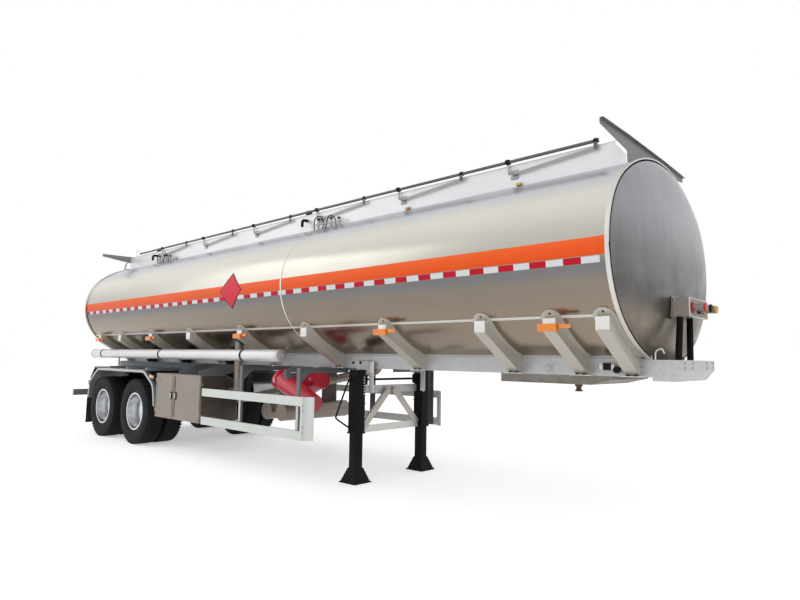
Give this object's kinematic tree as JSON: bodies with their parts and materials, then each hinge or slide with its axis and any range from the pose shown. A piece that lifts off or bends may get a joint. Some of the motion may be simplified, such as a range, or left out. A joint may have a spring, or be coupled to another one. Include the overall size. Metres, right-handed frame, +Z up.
{
  "type": "semi-trailer",
  "caption": "Oval aluminium tank semi-trailer on twin-wheel axles with landing legs, side guards, valve cabinet, top coaming and a folding handrail.",
  "frame": {"origin": "on the ground, below the middle of the overall length and width", "axes": "+X forward along the vehicle, +Y to its left, +Z up"},
  "size_m": [11, 2.48, 3.4353],
  "materials": {
    "steel_black": "black semi-gloss paint",
    "subframe_blue_grey": "blue-grey paint",
    "stainless_warm": "brushed",
    "valve_black": "matt",
    "hose_rubber": "matt",
    "frame_silver": "satin silver paint",
    "case_red": "bright red",
    "guard_white": "satin light",
    "aluminium_plain": "satin mill finish",
    "steel_grey": "dark grey paint",
    "kingpin_steel": "greased steel",
    "lamp_amber": "amber lens",
    "lamp_red": "red lens",
    "aluminium_polished": "polished, slightly brushed",
    "tyre_rubber": "matt",
    "wheel_polished": "polished"
  },
  "bodies": {
    "trailer": {"air_tanks": "steel_black", "axles": "steel_black", "bogie_frame": "subframe_blue_grey", "connector_box": "valve_black", "connector_hoses": "hose_rubber", "coupler_plate": "frame_silver", "cross_tubes": "subframe_blue_grey", "discharge_pipes": "stainless_warm", "extinguisher_cases": "case_red", "fenders": "guard_white", "frame_rails": "frame_silver", "front_bumper": "frame_silver", "guard_brackets": "steel_grey", "handrail_brackets": "aluminium_plain", "hose_tube_brackets": "aluminium_plain", "hose_tubes": "aluminium_plain", "kingpin": "kingpin_steel", "lamp_board": "frame_silver", "landing_legs": "steel_black", "leaf_springs": "steel_black", "leg_braces": "frame_silver", "leg_crank": "steel_black", "leg_mounts": "frame_silver", "manhole_covers": "aluminium_plain", "marker_lamps": "lamp_amber", "mudflaps": "hose_rubber", "rear_ladder": "aluminium_plain", "rear_lamps": "lamp_red", "saddle_arms": "aluminium_plain", "side_guards": "guard_white", "side_hangers": "steel_grey", "spring_hangers": "subframe_blue_grey", "tank_heads": "aluminium_polished", "tank_shell": "aluminium_polished", "top_coaming": "aluminium_plain", "top_valves": "valve_black", "top_wings": "aluminium_plain", "underrun_bar": "steel_grey", "valve_cabinet": "stainless_warm", "walkway": "aluminium_plain"},
    "wheels_front_right": {"tyres_front_right": "tyre_rubber", "wheel_front_right": "wheel_polished"},
    "wheels_front_left": {"tyres_front_left": "tyre_rubber", "wheel_front_left": "wheel_polished"},
    "wheels_rear_right": {"tyres_rear_right": "tyre_rubber", "wheel_rear_right": "wheel_polished"},
    "wheels_rear_left": {"tyres_rear_left": "tyre_rubber", "wheel_rear_left": "wheel_polished"},
    "cabinet_door_front": {"cabinet_door_front": "stainless_warm"},
    "cabinet_door_rear": {"cabinet_door_rear": "stainless_warm"},
    "fill_lid_front": {"fill_lid_front": "aluminium_plain"},
    "fill_lid_middle": {"fill_lid_middle": "aluminium_plain"},
    "fill_lid_rear": {"fill_lid_rear": "aluminium_plain"},
    "handrail_post_1": {"handrail_post_1": "aluminium_plain"},
    "handrail_post_2": {"handrail_post_2": "aluminium_plain"},
    "handrail_post_3": {"handrail_post_3": "aluminium_plain"},
    "handrail_post_4": {"handrail_post_4": "aluminium_plain"},
    "handrail_post_5": {"handrail_post_5": "aluminium_plain"},
    "handrail_post_6": {"handrail_post_6": "aluminium_plain"},
    "handrail_rail": {"handrail_rail": "aluminium_plain"}
  },
  "joints": [
    {"name": "wheels_front_right_spin", "type": "hinge", "parent": "trailer", "child": "wheels_front_right", "pos_m": [-2.8, 0, 0.525], "axis": [0, 1, 0], "continuous": true},
    {"name": "wheels_front_left_spin", "type": "hinge", "parent": "trailer", "child": "wheels_front_left", "pos_m": [-2.8, 0, 0.525], "axis": [0, 1, 0], "continuous": true},
    {"name": "wheels_rear_right_spin", "type": "hinge", "parent": "trailer", "child": "wheels_rear_right", "pos_m": [-4.1, 0, 0.525], "axis": [0, 1, 0], "continuous": true},
    {"name": "wheels_rear_left_spin", "type": "hinge", "parent": "trailer", "child": "wheels_rear_left", "pos_m": [-4.1, 0, 0.525], "axis": [0, 1, 0], "continuous": true},
    {"name": "cabinet_door_front_hinge", "type": "hinge", "parent": "trailer", "child": "cabinet_door_front", "pos_m": [-0.672, -1.2323, 0.8365], "axis": [0, 0, 1], "range_deg": [0, 120]},
    {"name": "cabinet_door_rear_hinge", "type": "hinge", "parent": "trailer", "child": "cabinet_door_rear", "pos_m": [-2.018, -1.2323, 0.8365], "axis": [0, 0, -1], "range_deg": [0, 120]},
    {"name": "fill_lid_front_hinge", "type": "hinge", "parent": "trailer", "child": "fill_lid_front", "pos_m": [3.132, 0, 3.3275], "axis": [0, -1, 0], "range_deg": [0, 110]},
    {"name": "fill_lid_middle_hinge", "type": "hinge", "parent": "trailer", "child": "fill_lid_middle", "pos_m": [0.032, 0, 3.3275], "axis": [0, -1, 0], "range_deg": [0, 110]},
    {"name": "fill_lid_rear_hinge", "type": "hinge", "parent": "trailer", "child": "fill_lid_rear", "pos_m": [-3.168, 0, 3.3275], "axis": [0, -1, 0], "range_deg": [0, 110]},
    {"name": "handrail_post_1_fold", "type": "hinge", "parent": "trailer", "child": "handrail_post_1", "pos_m": [3.9, -0.53, 3.27], "axis": [0, -1, 0], "range_deg": [0, 90]},
    {"name": "handrail_post_2_fold", "type": "hinge", "parent": "trailer", "child": "handrail_post_2", "pos_m": [2.42, -0.53, 3.27], "axis": [0, -1, 0], "range_deg": [0, 90]},
    {"name": "handrail_post_3_fold", "type": "hinge", "parent": "trailer", "child": "handrail_post_3", "pos_m": [0.94, -0.53, 3.27], "axis": [0, -1, 0], "range_deg": [0, 90]},
    {"name": "handrail_post_4_fold", "type": "hinge", "parent": "trailer", "child": "handrail_post_4", "pos_m": [-0.54, -0.53, 3.27], "axis": [0, -1, 0], "range_deg": [0, 90]},
    {"name": "handrail_post_5_fold", "type": "hinge", "parent": "trailer", "child": "handrail_post_5", "pos_m": [-2.02, -0.53, 3.27], "axis": [0, -1, 0], "range_deg": [0, 90]},
    {"name": "handrail_post_6_fold", "type": "hinge", "parent": "trailer", "child": "handrail_post_6", "pos_m": [-3.5, -0.53, 3.27], "axis": [0, -1, 0], "range_deg": [0, 90]},
    {"name": "handrail_rail_level", "type": "hinge", "parent": "handrail_post_4", "child": "handrail_rail", "pos_m": [0.31, -0.53, 3.345], "axis": [0, -1, 0], "range_deg": [-90, 0]}
  ],
  "couplings": [
    {"joint": "handrail_post_1_fold", "follows": "handrail_post_4_fold", "ratio": 1},
    {"joint": "handrail_post_2_fold", "follows": "handrail_post_4_fold", "ratio": 1},
    {"joint": "handrail_post_3_fold", "follows": "handrail_post_4_fold", "ratio": 1},
    {"joint": "handrail_post_5_fold", "follows": "handrail_post_4_fold", "ratio": 1},
    {"joint": "handrail_post_6_fold", "follows": "handrail_post_4_fold", "ratio": 1},
    {"joint": "handrail_rail_level", "follows": "handrail_post_4_fold", "ratio": -1}
  ]
}
